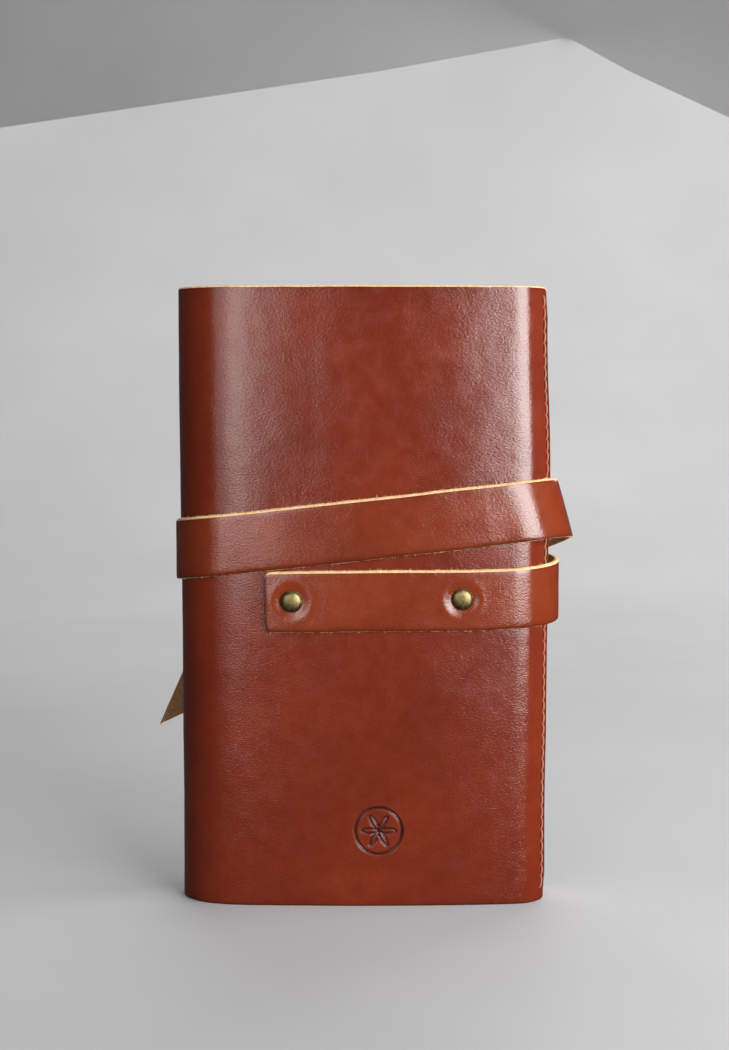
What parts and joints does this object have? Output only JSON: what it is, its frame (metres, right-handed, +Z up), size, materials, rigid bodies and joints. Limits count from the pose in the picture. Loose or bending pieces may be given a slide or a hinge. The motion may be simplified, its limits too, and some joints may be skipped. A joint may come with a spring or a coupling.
{
  "type": "leather notebook cover",
  "caption": "Upright soft leather notebook cover with a rounded spine, open fore-edge, hand-stitched pocket strips, a riveted wrap-round strap and a slide-in paper refill.",
  "frame": {"origin": "middle of the whole footprint, strap and rivets included, on the plane of the covers' bottom edges", "axes": "+Z up along the spine, +X from the spine towards the fore-edge, -Y out of the rear cover that carries the rivets"},
  "size_m": [0.1526, 0.0467, 0.22],
  "materials": {
    "cover_leather": "smooth pull-up leather, slightly waxy",
    "strap_leather": "smooth, cream raw edges",
    "lining_leather": "matt lining leather",
    "thread": "waxed linen thread",
    "brass": "antique brass",
    "card": "kraft card",
    "spine_cloth": "woven spine lining",
    "paper": "cream paper"
  },
  "bodies": {
    "rear_cover": {"rear_cover": "cover_leather", "rear_pocket_strip": "lining_leather", "rear_seam_thread": "thread", "strap_riveted_end": "strap_leather", "strap_wrap": "strap_leather", "rivet_caps": "brass", "rivet_posts": "brass"},
    "spine_rear_half": {"spine_rear_half": "cover_leather"},
    "spine_front_half": {"spine_front_half": "cover_leather"},
    "front_cover": {"front_cover": "cover_leather", "front_pocket_strip": "lining_leather", "front_seam_thread": "thread"},
    "refill": {"refill_rear_card": "card", "signature_1": "paper", "signature_2": "paper", "signature_3": "paper", "signature_4": "paper", "spine_lining_rear": "spine_cloth"},
    "refill_front": {"refill_front_card": "card", "signature_5": "paper", "signature_6": "paper", "signature_7": "paper", "signature_8": "paper", "spine_lining_front": "spine_cloth"}
  },
  "joints": [
    {"name": "refill_slide", "type": "slide", "parent": "rear_cover", "child": "refill", "axis": [0, 0, 1], "range_m": [0, 0.21]},
    {"name": "front_opening", "type": "hinge", "parent": "refill", "child": "refill_front", "pos_m": [-0.05437, -0.00069, 0], "axis": [0, 0, 1], "range_deg": [0, 180], "deforming": ["strap_wrap"]},
    {"name": "spine_bend_1", "type": "hinge", "parent": "rear_cover", "child": "spine_rear_half", "pos_m": [-0.04984, -0.01811, 0], "axis": [0, 0, 1], "range_deg": [0, 60]},
    {"name": "spine_bend_2", "type": "hinge", "parent": "spine_rear_half", "child": "spine_front_half", "pos_m": [-0.06575, -0.00069, 0], "axis": [0, 0, 1], "range_deg": [0, 60]},
    {"name": "spine_bend_3", "type": "hinge", "parent": "spine_front_half", "child": "front_cover", "pos_m": [-0.04984, 0.01674, 0], "axis": [0, 0, 1], "range_deg": [0, 60]}
  ],
  "couplings": [
    {"joint": "spine_bend_1", "follows": "front_opening", "ratio": 0.3333},
    {"joint": "spine_bend_2", "follows": "front_opening", "ratio": 0.3333},
    {"joint": "spine_bend_3", "follows": "front_opening", "ratio": 0.3333}
  ]
}
